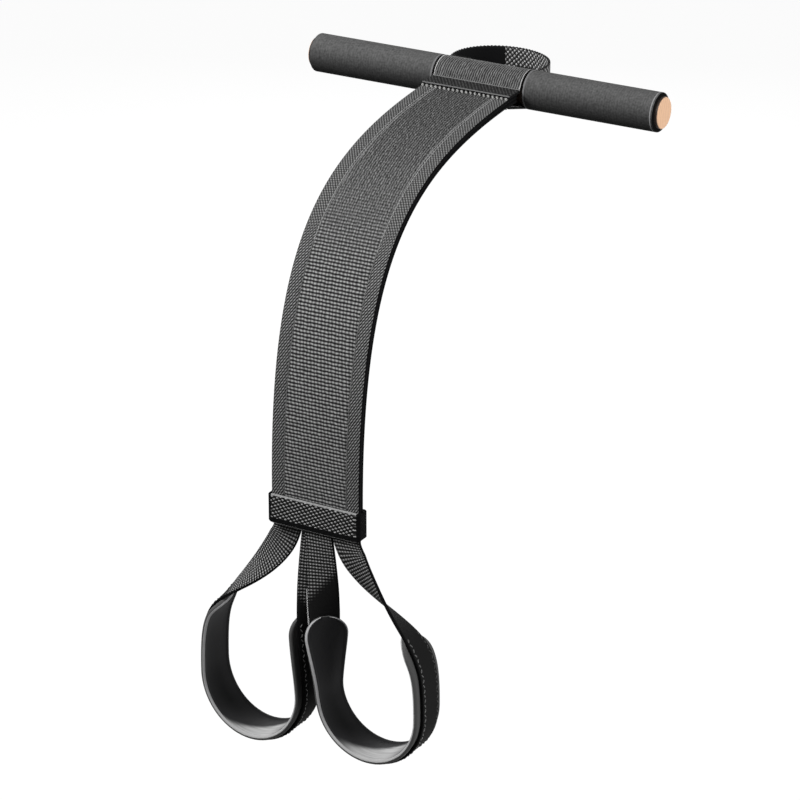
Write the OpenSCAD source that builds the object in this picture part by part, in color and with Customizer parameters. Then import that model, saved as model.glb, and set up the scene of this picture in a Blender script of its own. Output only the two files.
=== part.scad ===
// Strap trainer: a foam-covered bar, a wide webbing strap and two padded hand loops.
// Frame: X runs along the bar, +Y lies behind it, +Z is up. The origin is the bar's middle.
// The strap leaves the bar to the front, curves down and ends in a band that holds the loops.

/* [Bar] */
// Length of the wooden dowel
dowel_len = 320; // [260:2:420]
// Diameter of the wooden dowel
dowel_d = 26; // [22:0.5:27]
// Bevel round each end of the dowel
dowel_bevel = 0.8; // [0.2:0.1:2]
// Length of dowel that stands out of each foam grip
dowel_proud = 3; // [2:0.5:10]
// Outer diameter of the foam grips and of the sleeve between them
grip_d = 32; // [31:0.5:40]
// Round on the outer end of each foam grip
grip_round = 1.2; // [0.4:0.1:1.8]
// Gap between each foam grip and the sleeve
grip_gap = 1.6; // [0.8:0.1:2]
// Running clearance between the dowel and the sleeve
turn_gap = 0.1; // [0.05:0.01:0.1]

/* [Sleeve seam] */
// Distance from the bar's axis to the front edge of the sleeve's two flaps
flap_reach = 33.5; // [29:0.5:42]
// Thickness of the sleeve's flaps
flap_t = 2; // [1.5:0.1:2.6]
// Length of strap held between the flaps
flap_hold = 12; // [6:0.5:13]
// Height of the strap's upper face above the bar's axis at the seam
seam_z = 1; // [-1:0.25:3]
// Spacing of the seam's stitches
stitch_pitch = 4; // [3:0.25:6]
// Thickness of the seam's thread
stitch_d = 1.3; // [0.8:0.1:1.6]
// Length of one stitch of the seam
stitch_len = 3; // [2:0.25:5]

/* [Strap] */
// Width of the wide strap
strap_w = 80; // [76:1:100]
// Thickness of each of the strap's two plies
ply_t = 3.2; // [2.8:0.1:4]
// Distance from the bar's axis to the strap's front face where it hangs straight
strap_reach = 270; // [230:5:320]
// Depth below the bar's axis at which the strap's curve ends and the band begins
strap_drop = 266; // [240:2:340]
// Forward length of the curve's first handle, which sets how far the strap stays level
leave_run = 157; // [110:1:180]
// Fall of the curve's first handle
leave_fall = 11; // [4:1:30]
// Height of the curve's last handle, which sets how early the strap turns down
arrive_run = 212; // [170:2:230]
// Place on the curve where the strap flexes, as a share from seam to band
flex_share = 0.915; // [0.88:0.005:0.94]
// Clearance round the flexing line
flex_gap = 0.35; // [0.3:0.05:0.8]
// Width of the woven border outside each row of edge stitching
border_w = 12; // [8:0.5:18]
// Width of a row of edge stitching
row_w = 1; // [0.6:0.1:2]
// Height of a row of stitching above the webbing
row_h = 0.5; // [0.3:0.1:0.8]

/* [Band] */
// Height of the band round the strap's lower end
band_h = 24.5; // [20:0.5:40]
// Thickness of the band on its front and back
band_t = 3; // [2:0.1:4]
// Thickness of the band at its sides
band_side = 1.4; // [1.2:0.1:4]
// Round of the band's upright edges
band_edge = 1.4; // [0.5:0.1:1.5]
// Round of the band's lower corners
band_corner = 4; // [2:0.5:8]
// Length of the loop ends sewn in under the band
end_len = 12; // [8:0.5:18]

/* [Rear loop] */
// Width of the rear loop's webbing
rear_w = 25; // [18:0.5:27]
// Thickness of the rear loop's webbing
rear_t = 2.2; // [1.6:0.1:3]
// Overall width of the rear loop
rear_span = 84; // [80:1:88]
// Distance from the bar's axis to the rear loop's furthest point
rear_reach = 60; // [54:1:90]
// Distance from the bar's axis to the rear loop's widest place
rear_middle = 24; // [20:1:30]
// Clearance between the rear loop and the sleeve
rear_gap = 0.3; // [0.3:0.05:0.8]
// Length of each of the rear loop's ends sewn flat on the sleeve
rear_end_len = 16; // [10:1:20]

/* [Hand loops] */
// Width of the loops' webbing
leg_w = 25; // [18:0.5:25]
// Thickness of the loops' webbing
leg_t = 2.6; // [1.8:0.1:2.8]
// Clearance between the band and the swinging part of each loop
leg_gap = 0.4; // [0.3:0.05:0.8]
// Sideways gap between a loop's two legs at the band
leg_split = 0.3; // [0.3:0.1:0.5]
// Sideways place of a loop's middle
loop_x = 54.9; // [53:0.1:70]
// Width of a loop between the middles of its webbing
loop_w = 94.4; // [84:0.2:97]
// Depth from the band to a loop's widest place
loop_side = 131.5; // [115:0.5:170]
// Depth from a loop's widest place to its lowest
loop_bowl = 49.2; // [44:0.2:70]
// Distance from a loop's outer side in to the elbow of its outer leg
elbow_in = 26; // [20:1:30]
// Depth from the band to the elbow
elbow_drop = 60; // [52:1:66]
// Extra length by which the left loop hangs lower
left_extra = 10; // [0:1:14]
// Depth over which an outer leg turns edge-on
outer_turn = 85; // [70:1:95]
// Depth over which an inner leg turns edge-on
inner_turn = 144; // [110:1:150]
// Width of the loop pads
pad_w = 38; // [32:1:46]
// Thickness of the loop pads
pad_t = 3.5; // [2.5:0.1:5]
// Bevel on the edges of the loop pads
pad_bevel = 1.2; // [0.5:0.1:1.2]
// Distance of the stitch rows from the edges of the webbing they hold
row_inset = 3; // [2:0.25:5]
// Gap between a loop's webbing and the pad or the stitch row that follows it
sew_gap = 0.2; // [0.1:0.05:0.4]

/* [Hidden] */
$fn = 96;

webbing = "#3b3c3e";
webbing_dark = "#2d2e30";
thread = "#a9aaa8";
foam = "#35373a";
liner = "#1d1e20";
beech = "#e6ba8c";

eps = 0.01;
sleeve_r = grip_d / 2;
grip_inner_x = strap_w / 2 + grip_gap;
grip_outer_x = dowel_len / 2 - dowel_proud;
strap_t = 2 * ply_t;
band_bottom = -(strap_drop + band_h);
hinge_z = band_bottom - leg_t / 2 - leg_gap;
strap_back_y = -strap_reach + strap_t;
strap_mid_y = -strap_reach + ply_t;
front_leg_y = -strap_reach + leg_t / 2;
curve_steps = 44;
lower_steps = 8;

// ---- curves ----

function unit(v) = v / norm(v);
function smooth(x) = let (c = min(1, max(0, x))) c * c * (3 - 2 * c);
function bez(c, t) =
  pow(1 - t, 3) * c[0] + 3 * pow(1 - t, 2) * t * c[1] + 3 * (1 - t) * t * t * c[2] + pow(t, 3) * c[3];
function bez_dir(c, t) =
  unit(pow(1 - t, 2) * (c[1] - c[0]) + 2 * (1 - t) * t * (c[2] - c[1]) + t * t * (c[3] - c[2]));

// The strap's upper, then front, face seen from its side, as [y, z].
strap_curve = [
  [-flap_reach, seam_z],
  [-flap_reach - leave_run, seam_z - leave_fall],
  [-strap_reach, -strap_drop + arrive_run],
  [-strap_reach, -strap_drop],
];

// A point that lies some depth inside the strap, below its face at t.
function strap_at(t, depth) =
  let (d = bez_dir(strap_curve, t))
  bez(strap_curve, t) - depth * [d[1], -d[0]];

// The outline of one layer of the strap, from t0 to t1 and from depth d0 to d1.
function layer(t0, t1, d0, d1, steps) = concat(
  [for (i = [0 : steps]) strap_at(t0 + (t1 - t0) * i / steps, d0)],
  [for (i = [steps : -1 : 0]) strap_at(t0 + (t1 - t0) * i / steps, d1)]
);

flex_at = strap_at(flex_share, ply_t);

// Draws a side view, given as [y, z], and gives it a width along the bar.
module across(w) rotate([90, 0, 90]) linear_extrude(w, center = true) children();

// ---- bar ----

module dowel() color(beech)
  rotate([0, 90, 0]) rotate_extrude()
    polygon([
      [0, -dowel_len / 2],
      [dowel_d / 2 - dowel_bevel, -dowel_len / 2],
      [dowel_d / 2, -dowel_len / 2 + dowel_bevel],
      [dowel_d / 2, dowel_len / 2 - dowel_bevel],
      [dowel_d / 2 - dowel_bevel, dowel_len / 2],
      [0, dowel_len / 2],
    ]);

// A foam tube from the sleeve out to its rounded end; side is 1 for right and -1 for left.
module grip(side) color(foam) {
  wall = (grip_d - dowel_d) / 2;
  len = grip_outer_x - grip_inner_x;
  mirror([side < 0 ? 1 : 0, 0, 0])
    translate([grip_inner_x, 0, 0]) rotate([0, 90, 0]) rotate_extrude()
      translate([dowel_d / 2, 0]) union() {
        square([wall, len - grip_round]);
        square([wall - grip_round, len]);
        translate([wall - grip_round, len - grip_round]) circle(grip_round);
      }
}

// ---- sleeve and seam ----

// The lower flap leaves the sleeve along the tangent from its own front edge.
flap_low = [-flap_reach, seam_z - strap_t - flap_t];
tangent_a = atan2(flap_low[1], flap_low[0]) + 360 + acos(sleeve_r / norm(flap_low));
tangent_out = [cos(tangent_a), sin(tangent_a)];
flap_inside = flap_low - flap_t * tangent_out;

module bar_sleeve() color(webbing) difference() {
  union() {
    across(strap_w) circle(sleeve_r);
    across(strap_w) polygon([
      [0, 0],
      sleeve_r * tangent_out,
      flap_low,
      [-flap_reach, seam_z + flap_t],
      [0, seam_z + flap_t],
    ]);
  }
  across(strap_w + 2) circle(dowel_d / 2 + turn_gap);
  across(strap_w + 2) translate([-flap_reach - 1, seam_z - strap_t]) square([flap_hold + 1, strap_t]);
  across(strap_w + 2) polygon([
    [-flap_reach + flap_hold - 1, seam_z],
    [0, seam_z],
    (sleeve_r - flap_t) * tangent_out,
    flap_inside,
    flap_inside + [0, flap_t],
  ]);
}

// One row of thread beads along the front edge of the flaps, above and below the strap.
module seam_stitching() color(thread) {
  count = floor((strap_w - 2 * stitch_d) / stitch_pitch);
  fall = atan2(leave_fall, leave_run);
  for (i = [0 : count], face = [0, 1]) {
    depth = face == 0 ? -stitch_d / 2 : strap_t + stitch_d / 2;
    at = strap_at(0, depth);
    translate([(i - count / 2) * stitch_pitch, at[0], at[1]]) rotate([fall, 0, 0])
      translate([0, -stitch_d / 2, 0]) rotate([90, 0, 0]) cylinder(d = stitch_d, h = stitch_len, $fn = 24);
  }
}

// ---- rear loop ----

rear_rx = (rear_span - rear_t) / 2;
rear_ry = rear_reach - rear_t / 2 - rear_middle;
// Half-length of the long oval that the loop's sides follow, and the depth at which they end, just
// inside the cut round the sleeve.
rear_straight = 42;
rear_seat = sqrt(pow(sleeve_r, 2) - pow(rear_w / 2, 2)) - 0.5;
rear_wrap = asin((rear_middle - rear_seat) / rear_straight);
rear_steps = 44;
rear_end_x = rear_rx * cos(rear_wrap) - rear_t / 2 - 2 * rear_gap;

// A point of the rear loop in plan, moved out from the middle of its webbing by off. In front of its
// widest place it follows the long oval, so that its sides run straight to the sleeve.
function rear_at(a, off) =
  [(rear_rx + off) * cos(a), rear_middle + ((a < 0 || a > 180 ? rear_straight : rear_ry) + off) * sin(a)];

module rear_loop() color(webbing) difference() {
  turn = 180 + 2 * rear_wrap;
  translate([0, 0, -rear_w / 2]) linear_extrude(rear_w) polygon(concat(
    [for (i = [0 : rear_steps]) rear_at(i / rear_steps * turn - rear_wrap, rear_t / 2)],
    [for (i = [rear_steps : -1 : 0]) rear_at(i / rear_steps * turn - rear_wrap, -rear_t / 2)]
  ));
  rotate([0, 90, 0]) cylinder(r = sleeve_r + rear_gap, h = rear_span, center = true);
}

// A patch that lies on the back of the sleeve, from radius r0 to r1, x0 to x1 and up to +-z.
module on_sleeve(r0, r1, x0, x1, z) intersection() {
  translate([x0, 0, 0]) rotate([0, 90, 0]) difference() {
    cylinder(r = r1, h = x1 - x0);
    translate([0, 0, -1]) cylinder(r = r0, h = x1 - x0 + 2);
  }
  translate([x0 - 1, 0, -z]) cube([x1 - x0 + 2, r1 + 1, 2 * z]);
}

module rear_loop_ends() color(webbing)
  for (side = [0, 1]) mirror([side, 0, 0])
    on_sleeve(sleeve_r, sleeve_r + rear_t, rear_end_x - rear_end_len, rear_end_x, rear_w / 2);

module rear_loop_tacks() color(thread)
  for (side = [0, 1], place = [0.2, 0.7]) mirror([side, 0, 0]) {
    x = rear_end_x - rear_end_len * place;
    on_sleeve(sleeve_r + rear_t, sleeve_r + rear_t + row_h, x - 1.5 * row_w, x, rear_w / 2 - row_inset);
  }

// ---- strap ----

// One ply above the flexing line, with its end hollowed for the ply below it.
module upper_ply(d0, d1) color(webbing) across(strap_w) difference() {
  union() {
    polygon(layer(0, flex_share, d0, d1, curve_steps));
    translate([-flap_reach, seam_z - d1]) square([flap_hold, d1 - d0]);
  }
  translate(flex_at) circle(ply_t + flex_gap);
}

// One ply below the flexing line, with a round upper end, down to halfway inside the band.
module lower_ply(d0, d1) color(webbing) across(strap_w) union() {
  polygon(layer(flex_share, 1, d0, d1, lower_steps));
  translate([-strap_reach + d0, -strap_drop - band_h + end_len])
    square([d1 - d0, band_h - end_len + eps]);
  intersection() {
    polygon(layer(flex_share - 0.05, flex_share, d0, d1, lower_steps));
    translate(flex_at) circle(ply_t);
  }
}

// Two rows of stitching on the strap's face, from one of n places between t0 and t1 to another.
module edge_stitching(t0, t1, n, from, to) color(thread)
  for (side = [-1, 1])
    translate([side * (strap_w / 2 - border_w), 0, 0]) across(row_w)
      polygon(layer(t0 + (t1 - t0) * from / n, t0 + (t1 - t0) * to / n, -row_h, 0, to - from));

module upper_rows() edge_stitching(0, flex_share, curve_steps, 1, curve_steps - 1);
module lower_rows() edge_stitching(flex_share, 1, lower_steps, 1, lower_steps);

// ---- band ----

seam_x = 6;

// The band in plan: a ring with rounded upright edges.
module band_plan() difference() {
  w = strap_w / 2 + band_side - band_edge;
  d = ply_t + band_t - band_edge;
  union() {
    square([2 * w, 2 * (d + band_edge)], center = true);
    square([2 * (w + band_edge), 2 * d], center = true);
    for (x = [-w, w], y = [-d, d]) translate([x, y]) circle(band_edge);
  }
  square([strap_w, strap_t], center = true);
}

module band() color(webbing_dark) intersection() {
  translate([0, strap_mid_y, band_bottom]) linear_extrude(band_h) band_plan();
  translate([0, strap_mid_y + strap_t, band_bottom]) rotate([90, 0, 0]) linear_extrude(2 * strap_t) union() {
    w = strap_w / 2 + band_side;
    translate([-w, band_corner]) square([2 * w, band_h]);
    translate([-w + band_corner, 0]) square([2 * (w - band_corner), band_h]);
    for (x = [-1, 1]) translate([x * (w - band_corner), band_corner]) circle(band_corner);
  }
}

// The band's own ends meet at the back and are sewn down with two rows.
module band_seam() color(thread)
  for (x = [-seam_x, seam_x])
    translate([x - row_w / 2, strap_back_y + band_t, band_bottom + row_inset])
      cube([row_w, row_h, band_h - 2 * row_inset]);

// ---- hand loops ----

// The two loops are one pattern, used as it is on the right and turned half round on the left.
// The pattern is drawn from the flexing line at the band, as [x, z], outer leg first.
outer_x = (strap_w - leg_w) / 2;
inner_x = outer_x - leg_w - leg_split;
side_x = loop_x + loop_w / 2;
elbow = [side_x - elbow_in, -elbow_drop];
elbow_lean = [22, -20];
leave_lean = [5.5, -20];
shoulder_rise = [0, 42];
inner_rise = [0, 18];
inner_hang = [4.4, -28];
outer_curve = [[outer_x, 0], [outer_x, 0] + leave_lean, elbow - elbow_lean, elbow];
shoulder_curve = [elbow, elbow + elbow_lean, [side_x, -loop_side] + shoulder_rise, [side_x, -loop_side]];
inner_curve = [
  [side_x - loop_w, -loop_side],
  [side_x - loop_w, -loop_side] + inner_rise,
  [inner_x, 0] + inner_hang,
  [inner_x, 0],
];
turn_start = 1;
pad_inner_end = 3.5;
pad_outer_end = 1.09;

// The pattern's line at u: 0 to 1 outer leg, 1 to 2 shoulder, 2 to 3 bowl, 3 to 4 inner leg.
function loop_at(u) =
  u <= 1 ? bez(outer_curve, max(0, u)) :
  u <= 2 ? bez(shoulder_curve, u - 1) :
  u <= 3 ? [loop_x + loop_w / 2 * cos(180 * (u - 2)), -loop_side - loop_bowl * sin(180 * (u - 2))] :
  bez(inner_curve, min(4, u) - 3);

// The line's direction, brought upright at the band so that the webbing's end is square to it.
function loop_dir(u) =
  let (
    d = unit(loop_at(min(4, u + 0.01)) - loop_at(max(0, u - 0.01))),
    upright = [0, u < 2.5 ? -1 : 1],
    k = smooth(-loop_at(u)[1] / 20)
  ) unit(k * d + (1 - k) * upright);

// How far the webbing has turned: 0 flat to the strap, 90 edge-on to the front.
function loop_turn(u) =
  90 * smooth((-loop_at(u)[1] - turn_start) / (u < 2.5 ? outer_turn : inner_turn));

// A station of a swept strip: its middle, its across direction and its pad-side direction.
function station(u) =
  let (
    p = loop_at(u), d = loop_dir(u), a = loop_turn(u),
    pad_side = [sin(a) * d[1], -cos(a), -sin(a) * d[0]]
  ) [[p[0], 0, p[1]], cross([d[0], 0, d[1]], pad_side), pad_side];

// One cross-section: width w and thickness t, bevelled by c, moved by off towards the pad side
// and by slide across.
function section(s, w, t, c, off, slide = 0) =
  let (m = s[0] + off * s[2] + slide * s[1])
  [for (q = [[1, -1], [1, 1], [-1, 1], [-1, -1]], k = (q[0] == q[1]) ? [0, 1] : [1, 0])
    m + q[0] * (w / 2 - (k == 1 ? c : 0)) * s[1] + q[1] * (t / 2 - (k == 1 ? 0 : c)) * s[2]];

// Joins the cross-sections into one closed strip.
module strip(rings) {
  n = len(rings[0]);
  last = len(rings) - 1;
  polyhedron(
    points = [for (r = rings) each r],
    faces = concat(
      [[for (j = [n - 1 : -1 : 0]) j]],
      [for (i = [0 : last - 1], j = [0 : n - 1])
        let (a = i * n + j, b = i * n + (j + 1) % n) each [[a, b, b + n], [a, b + n, a + n]]],
      [[for (j = [0 : n - 1]) last * n + j]]
    )
  );
}

// Places along a pad, closer together towards its round ends.
pad_steps = 72;
pad_places = [for (i = [0 : pad_steps])
  let (k = i / pad_steps)
  pad_outer_end + (pad_inner_end - pad_outer_end) * (k - 0.13 * sin(360 * k))];

// Places along the whole webbing: the outer leg's, the pad's and the inner leg's.
leg_bevel = 0.4;
leg_places = concat(
  [for (i = [0 : 17]) pad_outer_end * i / 18],
  pad_places,
  [for (i = [1 : 10]) pad_inner_end + (4 - pad_inner_end) * i / 10]
);

// The rounded end of a leg at the flexing line, rising by the sine of each angle.
function leg_end(u, angles) =
  [for (a = angles) let (s = station(u), lift = [0, 0, leg_t / 2 * sin(a)])
    section([s[0] + lift, s[1], s[2]], leg_w, leg_t * cos(a), leg_bevel * cos(a), 0)];

module loop_strap() color(webbing)
  strip(concat(
    leg_end(0, [72, 50, 25]),
    [for (u = leg_places) section(station(u), leg_w, leg_t, leg_bevel, 0)],
    leg_end(4, [25, 50, 72])
  ));

// Width of the pad at u: full, drawn in to a round at each end.
function pad_width(u) =
  let (
    r = pad_w / 2,
    reach = min(norm(loop_at(u) - loop_at(pad_outer_end)), norm(loop_at(u) - loop_at(pad_inner_end))),
    x = 1 - min(reach, r) / r
  ) pad_w * max(0.25, sqrt(1 - x * x));

module loop_pad() color(liner)
  strip([for (u = pad_places)
    section(station(u), pad_width(u), pad_t, pad_bevel, (leg_t + pad_t) / 2 + sew_gap)]);

module loop_stitching() color(thread)
  for (side = [-1, 1])
    strip([for (i = [2 : pad_steps - 2])
      section(station(pad_places[i]), row_w, row_h, row_h / 4,
        -(leg_t + row_h) / 2 - sew_gap, side * (leg_w / 2 - row_inset))]);

// Puts the pattern in place: in front on the right, turned half round on the left.
module place_loop(side)
  translate([0, strap_mid_y, hinge_z]) rotate([0, 0, side < 0 ? 180 : 0])
    translate([0, front_leg_y - strap_mid_y, 0]) children();

// Draws the pattern out downwards, so that the left loop hangs lower.
module lengthened() scale([1, 1, 1 + left_extra / (loop_side + loop_bowl)]) children();

// The sewn ends of one loop, between the band's walls and under the plies.
module loop_ends(side) color(webbing_dark)
  place_loop(side)
    for (x = [outer_x, inner_x])
      translate([x - leg_w / 2, -leg_t / 2, band_bottom - hinge_z])
        cube([leg_w, leg_t, end_len]);

// ---- nodes ----

dowel();
grip(-1);  // left_grip
grip(1);  // right_grip
bar_sleeve();
seam_stitching();
rear_loop();
rear_loop_ends();
rear_loop_tacks();
upper_ply(0, ply_t);  // upper_front_ply
upper_ply(ply_t, strap_t);  // upper_back_ply
upper_rows();  // upper_edge_stitching
lower_ply(0, ply_t);  // lower_front_ply
lower_ply(ply_t, strap_t);  // lower_back_ply
lower_rows();  // lower_edge_stitching
band();
band_seam();
loop_ends(-1);  // left_loop_ends
loop_ends(1);  // right_loop_ends
place_loop(-1) lengthened() loop_strap();  // left_loop_strap
place_loop(-1) lengthened() loop_pad();  // left_loop_pad
place_loop(-1) lengthened() loop_stitching();  // left_loop_stitching
place_loop(1) loop_strap();  // right_loop_strap
place_loop(1) loop_pad();  // right_loop_pad
place_loop(1) loop_stitching();  // right_loop_stitching
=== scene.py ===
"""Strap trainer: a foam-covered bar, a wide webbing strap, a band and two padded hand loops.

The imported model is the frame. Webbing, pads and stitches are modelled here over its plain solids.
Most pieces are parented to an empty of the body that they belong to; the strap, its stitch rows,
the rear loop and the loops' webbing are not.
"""

import math
from functools import partial

import bpy
from bpy.props import FloatProperty, FloatVectorProperty, PointerProperty
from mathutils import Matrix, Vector


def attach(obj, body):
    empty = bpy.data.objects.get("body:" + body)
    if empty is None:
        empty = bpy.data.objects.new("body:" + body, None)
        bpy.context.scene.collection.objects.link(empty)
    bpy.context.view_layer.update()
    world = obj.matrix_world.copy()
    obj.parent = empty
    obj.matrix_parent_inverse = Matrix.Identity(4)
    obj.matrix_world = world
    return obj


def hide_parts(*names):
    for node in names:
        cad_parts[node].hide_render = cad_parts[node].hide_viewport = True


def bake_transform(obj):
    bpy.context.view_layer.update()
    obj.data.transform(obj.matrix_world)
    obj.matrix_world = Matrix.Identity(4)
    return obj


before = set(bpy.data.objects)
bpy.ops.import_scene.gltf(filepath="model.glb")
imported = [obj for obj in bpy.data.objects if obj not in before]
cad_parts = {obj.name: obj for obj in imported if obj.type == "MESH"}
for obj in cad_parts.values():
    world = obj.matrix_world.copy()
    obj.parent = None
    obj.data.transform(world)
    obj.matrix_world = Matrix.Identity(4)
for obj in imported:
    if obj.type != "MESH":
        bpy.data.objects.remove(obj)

bl_info = {
    "name": "Strap Trainer",
    "version": (1, 0, 0),
    "blender": (4, 5, 0),
    "location": "View3D > Sidebar > Strap Trainer",
    "description": "Dresses a foam-covered bar, its webbing strap and its two padded hand loops",
    "category": "Object",
}

MM = 0.001
SIDES = {"left": -1, "right": 1}
RIGHT, BACK, UP = Vector((1, 0, 0)), Vector((0, 1, 0)), Vector((0, 0, 1))


def linear(code):
    """An sRGB hex colour such as #5c5c5c as linear red, green, blue and alpha."""
    channels = [int(code[i : i + 2], 16) / 255 for i in (1, 3, 5)]
    return tuple(c / 12.92 if c <= 0.04045 else ((c + 0.055) / 1.055) ** 2.4 for c in channels) + (1.0,)


def size(name, description, default):
    """A length that a user can change, in metres."""
    return FloatProperty(name=name, description=description, default=default, unit="LENGTH", precision=4)


def power(name, description, default):
    """The power of a light, in watts."""
    return FloatProperty(name=name, description=description, default=default, unit="POWER")


def colour(name, description, code):
    """A colour that a user can change."""
    return FloatVectorProperty(
        name=name, description=description, default=linear(code), subtype="COLOR", size=4, min=0, max=1
    )


# ---------------------------------------------------------------- settings


class BarSettings(bpy.types.PropertyGroup):
    """The wooden dowel and its two foam grips."""

    foam: colour("Foam", "Ground closed-cell foam of the grips", "#5a5a5a")
    beech: colour("Beech", "Sawn beech of the dowel", "#ffd0aa")
    edge_round: size("Edge round", "Round on the foam's ends", 0.0007)


class WebbingSettings(bpy.types.PropertyGroup):
    """The weave that the straps share."""

    high: colour("High threads", "Threads that stand up and catch the light", "#c2c2c2")
    low: colour("Low threads", "Threads that lie deep in the weave", "#0a0a0a")
    edge: colour("Edges", "The dense edges of the webbing", "#09090a")
    # Painted shade: the near-black colour that hides the legs' weave round the pads.
    cover: colour("Loop cover", "Smooth woven cover of the padded part of the loops", "#1e1e1e")
    thread: colour("Thread", "Light sewing thread", "#f0f0ec")
    rib: size("Rib spacing", "Distance between the wide strap's cross ribs", 0.00288)
    column: size("Column spacing", "Distance between the wide strap's warp columns", 0.0031)


class StrapSettings(bpy.types.PropertyGroup):
    """The wide strap."""

    width: size("Width", "Width of the strap", 0.080)
    thickness: size("Thickness", "Thickness of both plies together", 0.0064)
    border: size("Border", "Width of the twill border on each side", 0.012)
    stitch: size("Stitch", "Spacing of the edge stitches", 0.0042)


class LoopSettings(bpy.types.PropertyGroup):
    """The two padded hand loops."""

    width: size("Webbing width", "Width of the loops' webbing", 0.025)
    thickness: size("Webbing thickness", "Thickness of the loops' webbing", 0.0026)
    pad_width: size("Pad width", "Width of the pads", 0.038)
    pad_thickness: size("Pad thickness", "Thickness of the pads", 0.0035)
    pad: colour("Pad", "Smooth pad lining", "#2d2d2e")
    # Painted highlight: the colour that makes the pads' rolled rim pale.
    rim: colour("Rim", "Rolled rim of the pads", "#b6b6b7")


class StageSettings(bpy.types.PropertyGroup):
    """The floor, the light and the camera."""

    backdrop: colour("Backdrop", "Floor and background", "#fdfdfd")
    key: power("Key light", "Power of the front light", 80)
    back: power("Back light", "Power of the low light behind", 15)
    side: power("Side light", "Power of the light on the right", 40)
    fill: FloatProperty(name="Fill", description="Brightness of the light all round", default=0.08, min=0)


# ---------------------------------------------------------------- materials

MAP = 10  # units of a piece's length map in one metre, so that a unit is 100 mm
REPEAT = 2 * math.pi / 20  # distance between the bands of a wave texture of scale 1

MULTIPLY = {"operation": "MULTIPLY"}
SUBTRACT = {"operation": "SUBTRACT"}
ABSOLUTE = {"operation": "ABSOLUTE"}
ABOVE = {"operation": "GREATER_THAN"}
BELOW = {"operation": "LESS_THAN"}
SOFT = {"interpolation_type": "SMOOTHSTEP"}
COLOURS = {"data_type": "RGBA"}


def add_node(tree, kind, settings, *inputs, out=0):
    """Adds a node with its settings and links, and returns its first output, or the one named by out.

    Inputs come in the node's own order, or by name or number in one dictionary. A socket is linked."""
    node = tree.nodes.new("ShaderNode" + kind)
    for key, value in settings.items():
        setattr(node, key, value)
    named = inputs[0] if inputs and isinstance(inputs[0], dict) else dict(enumerate(inputs))
    for key, value in named.items():
        if isinstance(value, bpy.types.NodeSocket):
            tree.links.new(value, node.inputs[key])
        else:
            node.inputs[key].default_value = value
    return node.outputs[out]


def surface(name, roughness, ior, specular):
    """A new material with one Principled shader. Returns them, and add_node for the material's tree."""
    material = bpy.data.materials.new(name)
    material.use_nodes = True
    tree = material.node_tree
    shader = tree.nodes["Principled BSDF"]
    for key, value in (("Roughness", roughness), ("IOR", ior), ("Specular IOR Level", specular)):
        shader.inputs[key].default_value = value
    return material, shader, partial(add_node, tree)


def lengths(add):
    """The piece's own map of lengths: the map, its two parts and the distance from the middle line."""
    at = add("UVMap", {"uv_map": "lengths"})
    across, run, _ = add("SeparateXYZ", {}, at).node.outputs
    return at, across, run, add("Math", ABSOLUTE, across)


def places(add):
    """A point's place in metres, and its x, y and z."""
    place = add("TexCoord", {}, out="Object")
    return place, *add("SeparateXYZ", {}, place).node.outputs


def threads(add, at, *sets):
    """The height of a weave, from sets of even threads that are multiplied.

    A set is (spacing in metres, direction, turn in degrees, wander, lowest, highest)."""
    height = None
    for spacing, direction, turn, wander, low, high in sets:
        placed = add("Mapping", {}, {"Vector": at, "Rotation": (0, 0, math.radians(turn))})
        inputs = {"Scale": REPEAT / (spacing * MAP), "Distortion": wander, "Detail": 1.0, "Detail Scale": 2.0}
        bands = add("TexWave", {"bands_direction": direction}, {"Vector": placed, **inputs}, out="Fac")
        level = add("MapRange", {}, bands, 0, 1, low, high)
        height = level if height is None else add("Math", MULTIPLY, height, level)
    return height


def flecked(add, vector, height, scale, detail, low, high):
    """A height or mask multiplied by uneven flecks between low and high."""
    flecks = add("TexNoise", {}, {"Vector": vector, "Scale": scale, "Detail": detail})
    return add("Math", MULTIPLY, height, add("MapRange", {}, flecks, 0, 1, low, high))


def between(add, value, low, high):
    """1 where value lies between low and high, and 0 elsewhere."""
    return add("Math", SUBTRACT, add("Math", ABOVE, value, low), add("Math", ABOVE, value, high))


def shaded(colour, share):
    """A colour made darker or brighter by share."""
    return tuple(min(1.0, c * share) for c in colour[:3]) + (1.0,)


def tinted(add, colour, tone):
    """A colour multiplied by a grey tone."""
    grey = add("CombineColor", {}, tone, tone, tone)
    return add("Mix", {**COLOURS, "blend_type": "MULTIPLY"}, {0: 1.0, 6: colour, 7: grey}, out=2)


def show(add, shader, base, marks, strength, depth, height):
    """Shows a base colour with (mask, colour) marks laid over it in turn, and relief by height."""
    for mask, tone in marks:
        base = add("Mix", COLOURS, {0: mask, 6: base, 7: tone}, out=2)
    relief = add("Bump", {}, {"Strength": strength, "Distance": depth, "Height": height})
    links = shader.id_data.links
    links.new(base, shader.inputs["Base Color"])
    links.new(relief, shader.inputs["Normal"])


def weave(add, shader, height, webbing, marks=(), depth=0.0004):
    """Colours a weave by its height, in threads of uneven tone, and gives it relief.

    marks are (mask, colour) pairs that lie over the weave, such as its dense edges."""
    grain = add("TexNoise", {}, {"Scale": 700.0, "Detail": 2.0})
    squared = add("Math", MULTIPLY, height, height)
    ragged = add("Math", MULTIPLY, squared, add("MapRange", {}, grain, 0, 1, 0.4, 1.6))
    show(add, shader, webbing.low, [(ragged, webbing.high), *marks], 0.9, depth, height)


def shown_rays(add):
    """1 for the rays that see the backdrop, straight, mirrored or through glass, and 0 for the others."""
    rays = add("LightPath", {}).node.outputs
    shown = rays["Is Camera Ray"]
    for kind in ("Is Glossy Ray", "Is Transmission Ray"):
        shown = add("Math", {"operation": "MAXIMUM"}, shown, rays[kind])
    return shown


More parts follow.
